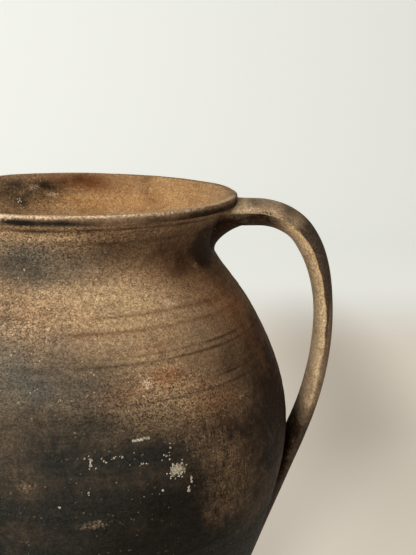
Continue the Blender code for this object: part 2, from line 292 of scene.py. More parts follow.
# smoke-fired earthenware, thrown, scraped and left unglazed: matt and sandy, clouded by flame and soot,
# paler where hands and use have rubbed it; turning is how strongly the wheel's lines show
def earthenware(name, tones, turning):
    material, tree, place = newMaterial(name)
    noise = {}
    for key, (size, detail, rough, drawn) in grainSizes.items():
        mapped = addNode(tree, "ShaderNodeMapping", {"Vector": place, "Scale": drawn}).outputs[0]
        settings = {"Vector": mapped, "Scale": 1 / (size * mm), "Detail": detail, "Roughness": rough}
        noise[key] = addNode(tree, "ShaderNodeTexNoise", settings).outputs[0]
    # each grain of sand is one cell with a tone of its own
    cells = addNode(tree, "ShaderNodeTexVoronoi", {"Vector": place, "Scale": 1 / (sandSize * mm)})
    noise["sandGrain"] = addNode(tree, "ShaderNodeSeparateColor", {0: cells.outputs["Color"]}).outputs[0]
    noise["ragged"] = 0.5
    for key, share in raggedMix.items():
        shifted = maths(tree, "SUBTRACT", noise[key], 0.5)
        noise["ragged"] = maths(tree, "MULTIPLY_ADD", shifted, share, noise["ragged"])
    amount = {}
    for key, (fray, share, low, high) in markEdges.items():
        mark = addNode(tree, "ShaderNodeAttribute", attribute_name=key).outputs["Fac"]
        shifted = maths(tree, "SUBTRACT", noise[fray], 0.5)
        scaled = maths(tree, "MULTIPLY_ADD", shifted, share, 1.0)
        amount[key] = carried(tree, maths(tree, "MULTIPLY", scaled, mark), low, high)
    # mottling of the fired clay, less where soot, smoke, stain or painted shade lies
    dark = maths(tree, "MAXIMUM", amount["soot"], amount["smoke"])
    dark = maths(tree, "MAXIMUM", dark, amount["stainAndShade"])
    clean = maths(tree, "MULTIPLY_ADD", dark, -darkCover, 1.0)
    for key, (source, low, high, share) in mottling.items():
        grains = carried(tree, noise[source], low, high, toHigh=share)
        amount[key] = maths(tree, "MULTIPLY", grains, clean)
    # the clay's own tone, then the others in their order
    base, *layers = tones
    colour = linear(tones[base])
    for key in layers:
        colour = layered(tree, amount[key], colour, linear(tones[key]))
    # each grain lightens or darkens what lies under it, so that sand shows alike in pale and in dark clay;
    # the coarse mark tells how much more or less than elsewhere
    coarse = addNode(tree, "ShaderNodeAttribute", attribute_name="coarse").outputs["Fac"]
    coarse = maths(tree, "ADD", coarse, coarseness, use_clamp=True)
    for source, ends in dict(grainTones, turning=(0.5 - turning, 0.5 + turning)).items():
        grains = carried(tree, noise[source], 0.0, 1.0, *ends)
        colour = layered(tree, coarse, colour, grains, blend_type="OVERLAY")
    roughness = carried(tree, noise["fleck"], *clayFace["fleckRange"], *clayFace["roughness"])
    normal = None
    for source, strength, depth in clayBumps:
        normal = bumped(tree, noise[source], strength, depth, normal)
    mineral(tree, colour, roughness, normal, clayFace["specular"])
    return material


vesselTones = dict(  # from the clay up, each laid over those before it
    clay="#987c5f", sand="#c2a57f", gold="#c49560", ember="#96592c", shadeTone="#6b543f", stainAndShade="#2b1a0f",
    ash="#5d5a51", fleckTone="#5f4b38", smoke="#262622", soot="#191510", scrape="#7a624a", speck="#d8c3a2",
    wear="#dcc0a0", pits="#33271d",
)
vesselClay = earthenware("smokeFiredEarthenware", vesselTones, 0.30)
# the strap's own tones: its darkest also stands for the painted shade under the root, and its pale gold, sand
# and wear partly for a painted highlight on the arris
strapTones = dict(
    vesselTones,
    clay="#c0a584", sand="#ceb48e", gold="#dcb06c", stainAndShade="#24160d", soot="#4a3d33", wear="#d6bc97",
)
strapClay = earthenware("pulledStrapClay", strapTones, 0.0)

limeFace = dict(grain=1.1, detail=3.0, cover=(0.35, 0.65), bump=(0.5, 0.3), roughness=0.92, specular=0.2)


# chalky scale left by hard water: matt, off-white, uneven where it is thin
def limeScale(name, pale, thin):
    material, tree, place = newMaterial(name)
    settings = {"Vector": place, "Scale": 1 / (limeFace["grain"] * mm), "Detail": limeFace["detail"]}
    crumbs = addNode(tree, "ShaderNodeTexNoise", settings).outputs[0]
    cover = carried(tree, crumbs, *limeFace["cover"])
    colour = layered(tree, cover, linear(thin), linear(pale))
    normal = bumped(tree, crumbs, *limeFace["bump"])
    mineral(tree, colour, limeFace["roughness"], normal, limeFace["specular"])
    return material


chalk = limeScale("limeScale", "#d2cab9", "#887b69")
print("clay mixed")

# Pieces
markNames = (*markEdges, "coarse")
mergeReach = 1e-6  # points nearer than this, in metres, become one
sharpFrom = 60  # edges that turn by more degrees than this stay sharp


# grids of points made into one closed mesh: each cell a quad, rows and columns running on to their first
# where they wrap, doubles at a pole merged, and the whole turned so that its signed volume is positive
def makePiece(name, points, material, marks, node, wrapRows=False):
    rows, columns = points.shape[-3:-1]
    i, j = np.meshgrid(np.arange(rows if wrapRows else rows - 1), np.arange(columns), indexing="ij")
    row, nextRow = i * columns, (i + 1) % rows * columns
    nextColumn = (j + 1) % columns
    corners = (row + j, row + nextColumn, nextRow + nextColumn, nextRow + j)
    first = np.arange(0, points.size // 3, rows * columns)[:, None, None, None]
    quads = (np.stack(corners, -1) + first).reshape(-1, 4)
    flat = points.reshape(-1, 3)
    a, b, c, d = (flat[quads[:, k]] for k in range(4))
    volume = (np.cross(a, b) * c).sum() + (np.cross(a, c) * d).sum()
    if volume < 0:
        quads = quads[:, ::-1]
    mesh = bpy.data.meshes.new(name)
    mesh.from_pydata(flat.tolist(), [], quads.tolist())
    for key in markNames:
        values = np.broadcast_to(marks.get(key, 0.0), points.shape[:-1]).astype(np.float32)
        mesh.attributes.new(key, "FLOAT", "POINT").data.foreach_set("value", values.ravel())
    shape = bmesh.new()
    shape.from_mesh(mesh)
    bmesh.ops.remove_doubles(shape, verts=shape.verts[:], dist=mergeReach)
    shape.to_mesh(mesh)
    shape.free()
    mesh.materials.append(material)
    mesh.shade_smooth()
    mesh.set_sharp_from_angle(angle=math.radians(sharpFrom))
    piece = bpy.data.objects.new(name, mesh)
    bpy.context.scene.collection.objects.link(piece)
    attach(piece, "root")
    if node:
        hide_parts(node)
    print(f"{name}: {len(mesh.polygons)} faces")


# Turned lines and unevenness of the wall
turnedLines = (  # height, depth and half width in mm, how dark and how red the line is
    (311.2, 0.24, 0.8, 0.45, 0.0),
    (303.0, 0.16, 1.2, 0.25, 0.0),
    (265.0, 0.18, 0.8, 0.30, 0.30),
    (258.0, 0.24, 0.9, 0.42, 0.40),
    (246.4, 0.30, 0.6, 0.54, 0.1),
    (242.9, 0.26, 0.6, 0.54, 0.1),
    (229.0, 0.14, 0.6, 0.30, 0.1),
    (224.0, 0.18, 0.6, 0.30, 0.0),
    (196.0, 0.14, 1.6, 0.15, 0.0),
    (168.0, 0.12, 1.8, 0.12, 0.0),
    (131.0, 0.18, 1.6, 0.20, 0.0),
    (96.0, 0.16, 1.8, 0.15, 0.0),
    (52.0, 0.20, 1.8, 0.20, 0.0),
)
lineShow = dict(
    fadeIn=(-86, -66), fadeOut=(30, 75),  # azimuths over which the clear side comes and goes
    pale=(-40, -22), paleShare=0.75,  # azimuths over which the lines lose this share of their dark tone
    patchSize=30, patches=(0.3, 0.6), least=0.45,  # patchiness on the clear side and the least shown
    broken=(0.36, 0.62),  # patchiness elsewhere
    wander=1.2, wanderSize=90,  # how far a line strays up and down, in mm
    ribPlace=2.2, ribShare=0.35,  # the burr above a line, in half widths and as a share of its depth
)
wallForm = dict(  # in mm: slow unevenness, faint ridges outside, finger ridges inside that end below the lip
    unevenness=0.30, unevenSize=55, ridge=0.05, ridgeSpacing=9.0, ridgeDrift=3,
    insideRidge=0.35, insideSpacing=13.0, insideDrift=4, driftSize=80, lipClear=9,
)
dents = (  # azimuth in degrees, height, radius across and up, depth, in mm
    (-9.4, 227.6, 2.2, 4.5, 1.0),
    (-63.0, 241.5, 1.6, 1.2, 0.3),
    (-31.0, 283.0, 6.0, 3.0, -0.35),
    (150.0, 205.0, 3.0, 2.4, 0.6),
    (60.0, 120.0, 4.0, 2.0, 0.5),
)


# distance across the wall from an azimuth: the angle between, times the radius
def across(azimuth, degrees, radius):
    turn = (azimuth - math.radians(degrees) + math.pi) % (2 * math.pi) - math.pi
    return turn * radius


# how deep each turned line is at a point: depth x bell of the height from it, clear round the front and right
# and broken elsewhere
def lineDepth(points):
    show = lineShow
    z = points[..., 2]
    degrees = np.degrees(np.arctan2(points[..., 1], points[..., 0]))
    clear = ease(degrees, *show["fadeIn"]) * (1 - ease(degrees, *show["fadeOut"]))
    paling = 1 - show["paleShare"] * ease(degrees, *show["pale"]) * clear
    depth, dark, red = np.zeros((3, *z.shape))
    wander = (clouds(points, show["wanderSize"], seeds["wander"], 1) - 0.5) * show["wander"] * mm
    for number, (height, deep, half, tone, ruddy) in enumerate(turnedLines):
        patchy = clouds(points, show["patchSize"], seeds["patches"] + number)
        whole = show["least"] + (1 - show["least"]) * ease(patchy, *show["patches"])
        shown = clear * whole + (1 - clear) * ease(patchy, *show["broken"])
        line = bell(z - height * mm - wander, half * mm)
        rib = bell(z - (height + show["ribPlace"] * half) * mm - wander, half * mm)
        depth += deep * mm * shown * (line - show["ribShare"] * rib)
        dark += tone * shown * line * paling
        red += ruddy * shown * line
    return depth, dark, red


# outer face: wall line, less turned lines and dents, with slow unevenness and faint throwing ridges
def outerFace(azimuth, z):
    form = wallForm
    radius = outerRadius(z)
    points = turned(radius, azimuth, z)
    depth, dark, red = lineDepth(points)
    uneven = (clouds(points, form["unevenSize"], seeds["uneven"]) - 0.5) * form["unevenness"] * mm
    drift = form["ridgeDrift"] * clouds(points, form["driftSize"], seeds["ridges"], 1)
    ridges = np.sin(z / (form["ridgeSpacing"] * mm) * 2 * math.pi + drift)
    radius = radius - depth + uneven + ridges * form["ridge"] * mm
    for degrees, height, wide, tall, deep in dents:
        hollow = bell(across(azimuth, degrees, radius), wide * mm) * bell(z - height * mm, tall * mm)
        radius = radius - deep * mm * hollow
    return turned(radius, azimuth, z), dark, red


# inner face: wall line with the throwing ridges left by the fingers
def innerFace(azimuth, z):
    form = wallForm
    radius = innerRadius(z)
    points = turned(radius, azimuth, z)
    spiral = azimuth + form["insideDrift"] * clouds(points, form["driftSize"], seeds["insideRidges"], 1)
    ridges = np.sin(z / (form["insideSpacing"] * mm) * 2 * math.pi + spiral)
    radius = radius + ridges * (1 - bell(z - lipSeam, form["lipClear"] * mm)) * form["insideRidge"] * mm
    return turned(radius, azimuth, z)


# Marks on the walls
# soft ovals: azimuth in degrees (-90 is the front, 0 the handle), height, reach across and up in mm, strength
outsideMarks = dict(
    smoke=(
        (-83, 221, 54, 8, 0.33),
        (-82, 204, 54, 16, 0.60),
        (-97, 212, 30, 10, 0.12),
        (-85, 176, 80, 16, 0.35),
        (-85, 120, 160, 75, 0.80),
        (-85, 105, 760, 60, 0.55),
        (-85, 22, 260, 46, 0.45),
        (-104, 194, 34, 24, 0.11),
        (-79, 215, 30, 8, 0.12),
        (-60, 201, 28, 9, 0.35),
        (-61, 181, 34, 18, 0.24),
        (-102, 192, 44, 22, 0.06),
        (-85, 70, 150, 50, 0.40),
        (140, 110, 130, 50, 0.35),
        (-10, 120, 60, 40, 0.35),
        (-33, 152, 24, 34, -0.32),
        (-106, 291, 20, 6, 0.48),
        (-97, 284, 26, 6, 0.44),
        (-83, 241, 30, 11, 0.36),
    ),
    soot=(
        (-60, 154, 46, 28, 0.95),
        (-57, 140, 36, 20, 0.45),
        (-62, 168, 18, 13, 0.25),
        (-26, 165, 14, 22, 0.40),
        (-5, 196, 10, 30, 0.25),
        (-46, 184, 26, 18, 0.50),
        (-29, 211, 18, 16, 0.45),
        (-20, 172, 22, 36, 0.24),
        (170, 120, 90, 60, 0.70),
        (95, 175, 60, 50, 0.80),
        (45, 110, 70, 45, 0.70),
        (130, 285, 40, 14, 0.70),
    ),
    ash=(
        (-101, 294, 26, 10, 0.72),
        (-107, 264, 22, 22, 0.08),
        (-106, 302, 18, 12, 0.15),
        (-97, 283, 16, 5, 0.45),
        (-82, 291, 20, 7, 0.25),
        (-102, 262, 24, 14, 0.18),
        (-93, 243, 34, 14, 0.55),
        (-84, 231, 30, 13, 0.40),
        (-108, 220, 50, 25, 0.55),
        (150, 230, 50, 25, 0.60),
        (60, 210, 40, 24, 0.50),
    ),
    sand=(
        (-94, 307, 24, 6, 0.85),
        (-104, 240, 12, 9, 0.35),
        (-82, 273, 26, 10, 0.75),
        (-58, 273, 30, 11, 0.90),
        (-76, 283, 16, 5, 0.30),
        (-62, 256, 34, 9, 0.45),
        (-101, 265, 18, 9, 0.65),
        (-64, 246, 18, 6, 0.30),
        (-59, 228, 20, 14, 0.60),
        (150, 268, 70, 16, 0.60),
        (60, 270, 60, 16, 0.50),
        (-150, 245, 60, 22, 0.45),
        (115, 232, 40, 16, 0.40),
    ),
    ember=(
        (-58, 234, 10, 5, 0.60),
        (-60, 250, 10, 4, 0.30),
        (-72, 230, 14, 6, 0.35),
        (-46, 216, 18, 12, 0.30),
        (-32, 288, 38, 20, 0.40),
        (-14, 214, 22, 42, 0.45),
        (-22, 255, 24, 24, 0.25),
        (-98, 268, 24, 8, 0.20),
        (-77, 165, 10, 3, 0.40),
        (120, 230, 26, 12, 0.40),
        (30, 190, 30, 20, 0.30),
    ),
    stainAndShade=(
        (-28, 288, 32, 13, 0.44),
        (-18, 284, 26, 16, 0.32),
        (-32, 304, 34, 9, 0.15),
        (-56, 294, 44, 10, 0.55),
        (-56, 309, 46, 7, 0.35),
        (-74, 300, 20, 6, 0.30),
        (-12, 303, 40, 13, 0.45),
        (-94, 311.0, 24, 1.1, 0.85),
        (-8, 300, 26, 14, 0.55),
        (-36, 233, 26, 16, 0.55),
        (-12, 240, 26, 34, 0.38),
        # painted shade: the dark on the belly's right edge behind the handle's tail, where the crease between
        # strap and belly lies in shade
        (-3, 184, 36, 46, 0.85),
        (-46, 203, 32, 12, 0.66),
        (-46, 255, 18, 14, 0.14),
        (-46, 280, 14, 6, 0.18),
        (-64, 236, 8, 6, 0.22),
        (-22, 192, 26, 34, 0.85),
        (-36, 176, 34, 28, 0.42),
        (-42, 146, 36, 34, 0.60),
        (20, 170, 50, 80, 0.60),
        (60, 220, 50, 40, 0.40),
    ),
    scrape=(
        (-46, 190, 24, 20, 0.44),
        (-45, 164, 24, 22, 0.50),
        (-53, 204, 14, 14, 0.35),
        (-49, 150, 14, 16, 0.10),
        (-94, 187, 9, 5, 0.42),
        (-79, 166, 14, 4, 0.26),
        (-88, 177, 8, 4, 0.30),
        (-88, 205, 20, 8, 0.3),
        (100, 150, 40, 30, 0.5),
        (170, 200, 30, 26, 0.5),
    ),
    wear=(
        (-50.1, 268.9, 4.0, 2.2, 0.6),
        (-63.6, 232.8, 4.0, 2.4, 0.6),
        (-30, 283, 4, 3, 0.3),
        (-59.4, 189, 4, 3, 0.5),
        (-79, 166, 13, 4, 0.24),
        (-94, 187, 8, 5, 0.20),
        (-85, 1.2, 420, 2.4, 0.5),
        (90, 1.2, 420, 2.4, 0.5),
        (165, 240, 6, 4, 0.4),
        (-140, 215, 8, 5, 0.35),
    ),
    coarse=(
        (-55, 254, 50, 24, -0.20),
        (-92, 308, 44, 9, 0.75),
        (-85, 266, 50, 18, -0.04),
        (-98, 262, 20, 14, 0.30),
        (-98, 294, 22, 10, 0.30),
        (-66, 222, 44, 14, 0.35),
        (-46, 180, 30, 40, 0.40),
        (20, 180, 80, 80, -0.15),
    ),
)
insideMarks = dict(
    soot=(
        (127, 314, 9, 3, 0.85), (127, 303, 6, 4, 0.75), (114, 313, 9, 3, 0.75), (134, 309, 8, 4, 0.60),
        (121, 307.5, 8, 2, 0.65), (115, 304, 9, 1.8, 0.50), (108, 310, 7, 2, 0.50), (-100, 250, 90, 40, 0.7),
    ),
    ember=((99, 315, 22, 5, 0.65), (91, 313, 15, 5, 0.40), (60, 305, 90, 30, 0.12)),
    gold=((50, 305, 90, 22, 0.75), (100, 301, 40, 9, 0.55)),
    sand=((35, 307, 80, 20, 1.00), (110, 300, 40, 14, 0.50)),
    stainAndShade=((120, 308, 40, 12, 0.45), (98, 315, 24, 5, 0.50), (67, 318, 6, 3, 0.4)),
    wear=((119, 311, 5, 2, 0.55), (111, 306, 6, 2, 0.45), (126, 308, 4, 1.6, 0.40)),
    pits=((121, 309, 24, 8, 0.45),),
    coarse=((60, 290, 150, 60, -0.30), (122, 308, 30, 12, 0.60)),
)
fullMark = 1.12  # overlapping ovals add up to no more than this
# how far slow noise bends the ovals, in mm; smoke bends less
markBend = dict(size=26, reach=7.0, smokeShare=0.25)


# each mark is the sum of its soft ovals, bent out of shape by slow noise:
# strength x exp(-(across / wide)^2 - (up / tall)^2)
def markLayers(points, spots, reach=markBend["reach"]):
    radius = np.hypot(points[..., 0], points[..., 1])
    azimuth = np.arctan2(points[..., 1], points[..., 0])
    shiftAcross = (clouds(points, markBend["size"], seeds["bendAcross"]) - 0.5) * 2
    shiftUp = (clouds(points, markBend["size"], seeds["bendUp"]) - 0.5) * 2
    layers = {}
    for key, ovals in spots.items():
        layer = np.zeros(radius.shape)
        sway = reach * (markBend["smokeShare"] if key == "smoke" else 1.0)
        for degrees, height, wide, tall, strength in ovals:
            far = across(azimuth, degrees, radius) + shiftAcross * min(sway, wide / 2) * mm
            up = points[..., 2] - height * mm + shiftUp * min(sway, tall / 2) * mm
            layer += strength * bell(far, wide * mm) * bell(up, tall * mm)
        layers[key] = np.minimum(layer, fullMark)
    return layers


# Walls
wallGrid = dict(lower=(90, 40), upper=(60, 36), turn=540, lineRows=9, lineReach=3)


# a turned shell on a grid of height and azimuth: its outer face up and its inner face down, edges meeting,
# with closer rows at the turned lines
def turnedShell(low, high, outerRows, innerRows):
    azimuth = roundSteps(wallGrid["turn"], -math.pi)
    closer = np.linspace(-wallGrid["lineReach"], wallGrid["lineReach"], wallGrid["lineRows"])
    heights = [np.linspace(low, high, outerRows)]
    for height, _, half, *_ in turnedLines:
        close = height * mm + closer * half * mm
        heights.append(close[(close > low) & (close < high)])
    upwards, outTurn = np.meshgrid(np.unique(np.concatenate(heights)), azimuth, indexing="ij")
    downwards, inTurn = np.meshgrid(np.linspace(high, low, innerRows), azimuth, indexing="ij")
    outside, dark, red = outerFace(outTurn, upwards)
    inside = innerFace(inTurn, downwards)
    without = markLayers(outside, outsideMarks)
    without["stainAndShade"] += dark
    without["ember"] += red
    within = markLayers(inside, insideMarks)
    noneOut, noneIn = np.zeros(outTurn.shape), np.zeros(inTurn.shape)
    marks = {key: np.vstack([without.get(key, noneOut), within.get(key, noneIn)]) for key in markNames}
    return np.concatenate([outside, inside]), marks


points, marks = turnedShell(floorSeam, beltSeam, *wallGrid["lower"])
makePiece("bellyWall", points, vesselClay, marks, "lower_wall", wrapRows=True)
points, marks = turnedShell(beltSeam, lipSeam, *wallGrid["upper"])
makePiece("shoulderWall", points, vesselClay, marks, "upper_wall", wrapRows=True)

# Lip: a rounded section turned about the axis, its top worn down here and there
lipForm = dict(
    section=(  # radius and height in mm
        (97.6, 0.0), (99.2, 0.1), (99.75, 0.35), (99.9, 1.0), (99.9, 3.0),
        (99.8, 4.4), (99.55, 5.1), (98.9, 5.45), (97.0, 5.5), (95.3, 5.35),
        (94.7, 5.1), (94.1, 4.7), (92.3, 2.8), (91.0, 1.4), (89.7, 0.0),
    ),
    rows=58, turn=720, wear=0.5, wearSize=24, worn=(0.35, 0.85), uneven=0.3, unevenSize=14,
    outerEdge=(98.6, 99.4), innerEdge=(94.4, 95.2), markReach=2.0,
)
lipMarks = dict(
    wear=(
        (-94, 320, 26, 1.4, 1.10),
        (-112, 319, 9, 3, 1.1),
        (-106, 319.3, 7, 2.5, 1.0),
        (-72, 319.6, 24, 1.1, 0.60),
        (-50, 319.4, 24, 1.0, 0.50),
        (150, 320, 60, 2, 0.5),
    ),
    soot=(
        (-96, 316.3, 26, 2.2, 1.1),
        (-78, 315.8, 18, 1.7, 0.50),
        (-40, 317, 9, 2.0, 0.5),
        (120, 316, 40, 3, 0.6),
        (-14, 316.6, 14, 1.6, 0.60),
        (-30, 316.0, 18, 1.4, 0.45),
        (-58, 316.6, 10, 1.6, 0.40),
    ),
    stainAndShade=(
        (-50, 316.2, 50, 2.4, 0.6),
        (-16, 316.6, 50, 2.2, 0.80),
        (0, 314.7, 70, 0.8, 0.9),
        (60, 316, 40, 3, 0.4),
    ),
    coarse=((-90, 318, 60, 4, -0.20),),
)
lipTopMarks = dict(
    ash=((-56, 320.0, 36, 1.6, 0.30), (-14, 320.0, 14, 1.6, 0.20)),
    wear=((-96, 319.8, 30, 2, 0.90), (-56, 320, 30, 2, 0.45), (-22, 320, 36, 2, 0.75)),
    soot=((-3, 320, 7, 3, 0.60),),
    sand=((60, 320, 120, 4, 0.7), (-30, 320, 44, 3, 0.80)),
    ember=((60, 320, 120, 4, 0.35),),
    coarse=((-20, 320, 160, 4, -0.25),),
)


# the section's knots joined by a smooth curve, turned, and lowered on top by slow noise times its height
def lipShell():
    form = lipForm
    knots = np.array(form["section"]) * mm
    share = np.linspace(0, len(knots) - 1, form["rows"])
    order = np.arange(len(knots), dtype=float)
    r, z = smoothLine(share, order, knots[:, 0]), smoothLine(share, order, knots[:, 1])
    z = z / z.max() * (lipTop - lipSeam)
    r, turn = np.meshgrid(r, roundSteps(form["turn"], -math.pi), indexing="ij")
    z = np.repeat(z[:, None], form["turn"], axis=1)
    ring = turned(lipRadius, turn, 0 * z)
    lower = ease(clouds(ring, form["wearSize"], seeds["lipTop"]), *form["worn"]) * form["wear"] * mm
    r = r - clouds(ring + z[..., None], form["unevenSize"], seeds["lipSide"], 2) * form["uneven"] * mm
    return turned(r, turn, lipSeam + z - lower * z / z.max())


points = lipShell()
radius = np.hypot(points[..., 0], points[..., 1]) / mm
outward = ease(radius, *lipForm["outerEdge"])
inward = 1 - ease(radius, *lipForm["innerEdge"])
parts = (
    (outward, markLayers(points, lipMarks, lipForm["markReach"])),
    (1 - outward - inward, markLayers(points, lipTopMarks, lipForm["markReach"])),
    (inward, markLayers(points, insideMarks)),
)
marks = {key: sum(share * layers.get(key, 0.0) for share, layers in parts) for key in markNames}
makePiece("lipBand", points, vesselClay, marks, "rim_band", wrapRows=True)

# Strap handle: sizes in mm, along its crown line from under the lip to the tip of the tail
strapForm = dict(
    drop=3.8, start=84, rootReach=12, rootSweep=37, bendSweep=48, grip=(162.4, 238), gripSweep=30,
    landing=162.8, landingStandoff=13.7, landingSweep=20, tail=66, tailStandoff=2.4,
    # key sections, each a width and a thickness
    flare=(61, 16.9), root=(45, 16.5), bend=(37, 15.5), gripSize=(32, 11.5), landingSize=(33, 11.8),
    tailSize=(42, 9.0), tipLength=14, tipWidth=18,
    arris=(0.34, 0.58), power=2.3, rootPower=1.35, arrisRun=(28, 60),
    rows=(40, 70, 70, 60, 100), turn=96, bury=3.0,
    pulled=0.25, pullSize=5, pullDrawn=0.12, uneven=0.5, unevenSize=22, unevenMiddle=0.8, noiseRadius=20,
)


# a section carried along the crown line: width and thickness ease between key sections, the section is a
# superellipse whose widest line lies at the arris, high and sharp at the root and in the middle further on,
# and what would pass the wall stops inside it
def strapLoft():
    form = strapForm
    top = lipTop - form["drop"] * mm
    start = np.array([form["start"] * mm, top])
    root = np.array([lipRadius + form["rootReach"] * mm, top])
    grip = np.array(form["grip"]) * mm
    landing, tail = (
        np.array([outerRadius(form[key] * mm) + form[key + "Standoff"] * mm, form[key] * mm])
        for key in ("landing", "tail")
    )
    fall = (tail - landing) / np.linalg.norm(tail - landing)
    rows = form["rows"]
    rootPull, gripLift = root + (form["rootSweep"] * mm, 0), grip + (0, form["bendSweep"] * mm)
    gripFall, landingPull = grip - (0, form["gripSweep"] * mm), landing - fall * form["landingSweep"] * mm
    bend = bezier(root, rootPull, gripLift, grip, rows[1] + rows[2])
    drop = bezier(grip, gripFall, landingPull, landing, rows[3])
    stretches = (
        (np.linspace(start, root, rows[0]), form["flare"], form["root"]),
        (bend[:rows[1]], form["root"], form["bend"]),
        (bend[rows[1] - 1:], form["bend"], form["gripSize"]),
        (drop, form["gripSize"], form["landingSize"]),
        (np.linspace(landing, tail, rows[4]), form["landingSize"], form["tailSize"]),
    )
    lines, sizes = [], []
    for line, first, last in stretches:
        share = ease(np.linspace(0, 1, len(line)))[1:, None]
        lines.append(line[1:])
        sizes.append(((1 - share) * first + share * last) * mm)
    line, size = np.vstack(lines), np.vstack(sizes)
    toTip = np.linalg.norm(line - line[-1], axis=1)
    rounding = np.sqrt(1 - np.clip(1 - toTip / (form["tipLength"] * mm), 0, 1) ** 2)
    width = form["tipWidth"] * mm + (size[:, 0] - form["tipWidth"] * mm) * rounding
    along = np.gradient(line, axis=0)
    along /= np.linalg.norm(along, axis=1)[:, None]
    inwards = np.column_stack([along[:, 1], -along[:, 0]])
    run = np.concatenate([[0], np.cumsum(np.linalg.norm(np.diff(line, axis=0), axis=1))])
    angle = roundSteps(form["turn"])
    settled = ease(run / mm, *form["arrisRun"])[:, None]
    arris = form["arris"][0] + (form["arris"][1] - form["arris"][0]) * settled
    innerPower = form["rootPower"] + (form["power"] - form["rootPower"]) * settled
    power = np.where(np.sin(angle) > 0, innerPower, form["power"])
    side = np.sign(np.cos(angle)) * np.abs(np.cos(angle)) ** (2 / power)
    depth = np.sign(np.sin(angle)) * np.abs(np.sin(angle)) ** (2 / power)
    share = np.where(depth > 0, 1 - arris, arris) * depth + arris
    # slight lengthwise pulls of the wet hand, and slow unevenness
    tube = form["noiseRadius"] * mm
    grid = np.stack(np.broadcast_arrays(run[:, None], np.cos(angle) * tube, np.sin(angle) * tube), -1)
    pulls = clouds(grid * (form["pullDrawn"], 1, 1), form["pullSize"], seeds["pulls"], 2) - 0.5
    uneven = clouds(grid, form["unevenSize"], seeds["strap"], 2) - form["unevenMiddle"]
    swell = pulls * form["pulled"] * mm + uneven * form["uneven"] * mm
    through = share * size[:, 1:2] + swell * np.sign(np.sin(angle))
    place = line[:, None] + inwards[:, None] * through[..., None]
    y = side * (width[:, None] / 2 + swell)
    points = np.stack([place[..., 0], y, place[..., 1]], -1)
    surface = np.where(points[..., 2] > lipSeam, lipRadius, outerRadius(points[..., 2])) - form["bury"] * mm
    radius = np.hypot(points[..., 0], points[..., 1])
    points[..., :2] *= np.maximum(1, surface / radius)[..., None]
    run = np.concatenate([run[:1], run, run[-1:]])
    return closedEnds(points), *np.broadcast_arrays(run[:, None], np.sin(angle))


points, run, facing = strapLoft()
along = run / mm


# on the strap, in mm along it: a bell about a place
def near(place, reach):
    return bell(along - place, reach)


# a band that comes in over one stretch and goes out over another
def band(comes, goes):
    return ease(along, *comes) * (1 - ease(along, *goes))


strapMarks = dict(raggedSize=9, ragged=0.30, softRun=(30, 60), crown=(0.03, 0.14), softCrown=(-0.17, 0.40))
ragged = clouds(points, strapMarks["raggedSize"], seeds["ragged"]) - 0.5
past = facing + strapMarks["ragged"] * ragged  # how far past the arris towards the inner side
soft = 1 - ease(along, *strapMarks["softRun"])  # near the root the crown rounds over softly
crownFrom, crownTo = (a + (b - a) * soft for a, b in zip(strapMarks["crown"], strapMarks["softCrown"]))
crown = ease(-past, crownFrom, crownTo)
inner = 1 - crown
ridge = bell(past, 0.10)  # on the arris
shoulder = bell(past + 0.12, 0.20)  # broad, just on the crown's side of it
edge = bell(past + 0.22, 0.09)  # narrow, further on to the crown
# sums of strength x where on the section x where along the strap
marks = dict(
    soot=crown * ease(along, 46, 66) * (0.95 - 0.35 * ease(along, 112, 140))
    + 0.70 * crown * near(47, 6)
    + 0.55 * crown * near(24, 5) * ease(-facing, 0.35, 0.8)
    + 0.60 * edge * band((52, 70), (120, 165)),
    ash=0.30 * crown * near(31, 8) * ease(-facing, 0.45, 0.85) + 0.60 * ease(along, 236, 258),
    # partly painted highlight: the sand and gold along the arris, and the rubbed pale on it at 32 and 130 mm,
    # are partly real wear and partly a painted highlight where the arris faces the lamps
    sand=0.70 * ridge * band((34, 44), (120, 165)) + 0.75 * inner * near(128, 36),
    gold=0.50 * ridge * band((40, 52), (110, 150)),
    wear=0.60 * ridge * near(130, 9) + 0.70 * ridge * near(32, 9)
    + 0.50 * crown * near(17, 8) + 0.45 * shoulder * near(36, 7),
    # painted shade: the darkest tone on the inner side of the root, fading out 34 to 60 mm along, stands for
    # the shade under the root; from 178 mm on the whole tail is darker
    stainAndShade=0.95 * inner * (1 - ease(along, 34, 60)) + 0.97 * ease(along, 178, 204),
    pits=0.75 * shoulder * near(33, 9) + 0.50 * ridge * near(126, 9),
    coarse=-0.10,
)
makePiece("strapHandle", points, strapClay, marks, "strap_handle")

# Upper luting: hollow fillet between the neck and the underside of the strap's root
upperLuting = dict(
    width=40, span=0.98, reach=20, drop=21, power=1.6, overlap=1.2, underside=20.0, rise=2.4, sink=0.2,
    backDepth=2, backRise=3, rows=60, steps=26, backSteps=8,
)


